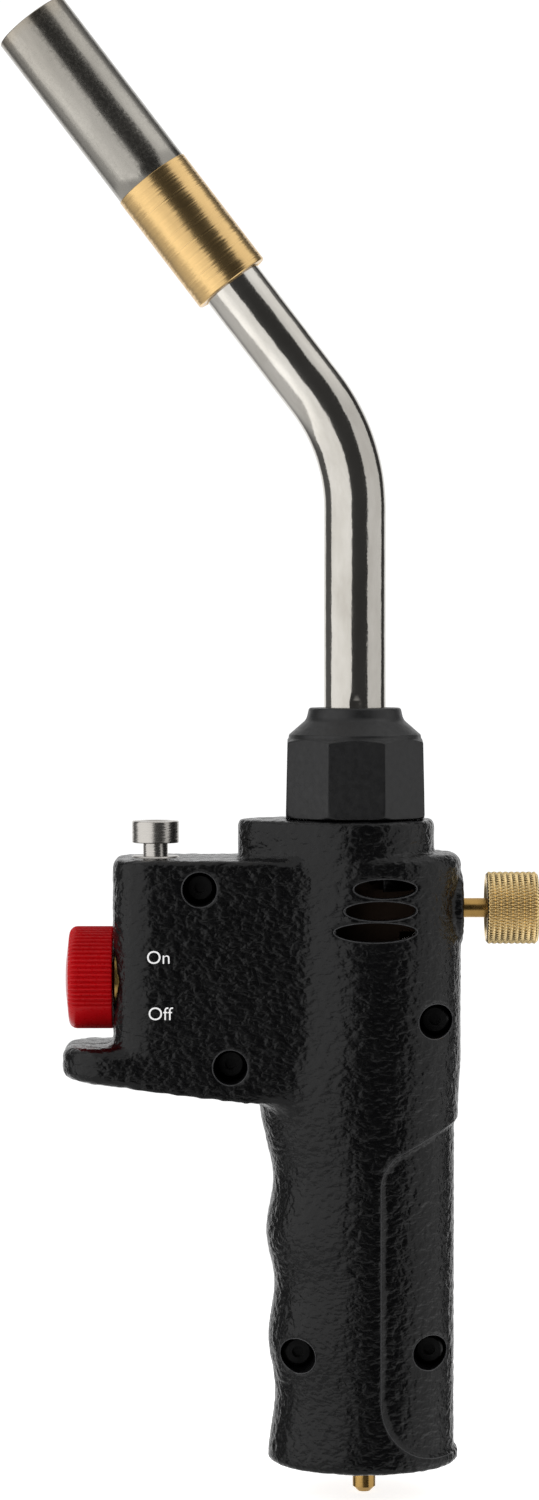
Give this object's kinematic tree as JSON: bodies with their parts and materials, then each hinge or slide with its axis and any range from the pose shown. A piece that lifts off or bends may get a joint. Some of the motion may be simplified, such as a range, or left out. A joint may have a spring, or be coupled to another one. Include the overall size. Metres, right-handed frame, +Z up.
{
  "type": "gas torch",
  "caption": "Hand-held gas torch: screw-on cylinder socket, moulded grip, on/off knob, flame screw, push-button lighter and a swivelling bent burner tube.",
  "frame": {"origin": "on the axis of the cylinder socket, in the plane of the handle's bottom rim", "axes": "+Z up the handle away from the gas cylinder, +X towards the rear where the flame screw stands, the handle halves meet in the plane Y = 0"},
  "size_m": [0.1098, 0.0338, 0.3062],
  "materials": {
    "handle_plastic": "glossy black moulding with a hammered grain",
    "nut_black": "satin black",
    "screw_steel": "plain zinc-plated steel",
    "screw_black": "black-oxide steel",
    "brass": "machined brass",
    "seal_rubber": "black nitrile rubber",
    "zinc_casting": "plain zinc die casting",
    "copper_tube": "drawn copper",
    "lead_insulation": "black silicone insulation",
    "igniter_plastic": "moulded black plastic",
    "tube_steel": "polished drawn steel",
    "sleeve_brass": "finely turned brass",
    "flame_tube_steel": "dark brushed stainless steel",
    "ceramic_white": "white glazed ceramic",
    "knob_red": "glossy red moulding",
    "button_steel": "turned stainless steel",
    "knurled_brass": "diamond-knurled brass"
  },
  "bodies": {
    "handle": {"left_housing_half": "handle_plastic", "right_housing_half": "handle_plastic", "housing_screws": "screw_black", "cylinder_socket": "brass", "inlet_probe": "brass", "inlet_seal": "seal_rubber", "inlet_filter": "brass", "regulator_body": "zinc_casting", "regulator_diaphragm": "seal_rubber", "diaphragm_plate": "screw_steel", "regulator_spring": "screw_steel", "regulator_cap": "zinc_casting", "regulator_screw": "brass", "feed_tube": "copper_tube", "valve_body": "brass", "spindle_o_ring": "seal_rubber", "gland_nut": "brass", "needle_gland": "brass", "jet": "brass", "mixing_tube": "zinc_casting", "air_screen": "screw_black", "burner_nut": "nut_black", "swivel_seal": "seal_rubber", "ignition_lead_lower": "lead_insulation", "swivel_contact": "brass", "button_bush": "screw_steel", "piezo_igniter": "igniter_plastic", "button_spring": "screw_steel"},
    "burner": {"burner_tube": "tube_steel", "tube_ferrule": "brass", "burner_sleeve": "sleeve_brass", "flame_tube": "flame_tube_steel", "flame_holder": "screw_steel", "ignition_lead_upper": "lead_insulation", "electrode_insulator": "ceramic_white", "ignition_electrode": "screw_steel"},
    "on_off_valve": {"shutoff_spindle": "brass", "on_off_knob": "knob_red", "knob_screw": "screw_steel"},
    "button": {"igniter_button": "button_steel", "piezo_plunger": "igniter_plastic"},
    "needle_packing": {"needle_o_ring": "seal_rubber"},
    "flame_control": {"flame_needle": "brass", "flame_knob": "knurled_brass"},
    "poppet": {"regulator_poppet": "brass"}
  },
  "joints": [
    {"name": "burner_swivel", "type": "hinge", "parent": "handle", "child": "burner", "pos_m": [-0.002, 0, 0.139], "axis": [0, 0, 1], "range_deg": [-180, 180]},
    {"name": "on_off_turn", "type": "hinge", "parent": "handle", "child": "on_off_valve", "pos_m": [-0.055, 0, 0.0996], "axis": [-1, 0, 0], "range_deg": [0, 80]},
    {"name": "button_press", "type": "slide", "parent": "handle", "child": "button", "axis": [0, 0, -1], "range_m": [0, 0.0026], "stiffness_N_per_m": 1200, "springref_m": -0.003, "deforming": ["button_spring"]},
    {"name": "needle_travel", "type": "slide", "parent": "handle", "child": "needle_packing", "axis": [1, 0, 0], "range_m": [-0.0021, 0.0007]},
    {"name": "flame_turn", "type": "hinge", "parent": "needle_packing", "child": "flame_control", "pos_m": [0.03, 0, 0.1139], "axis": [1, 0, 0], "range_deg": [-1080, 360]},
    {"name": "poppet_lift", "type": "slide", "parent": "handle", "child": "poppet", "axis": [0, 0, 1], "range_m": [0, 0.0004], "stiffness_N_per_m": 300, "springref_m": -0.0005}
  ],
  "couplings": [
    {"joint": "flame_turn", "follows": "needle_travel", "rad_per_m": 8976}
  ]
}
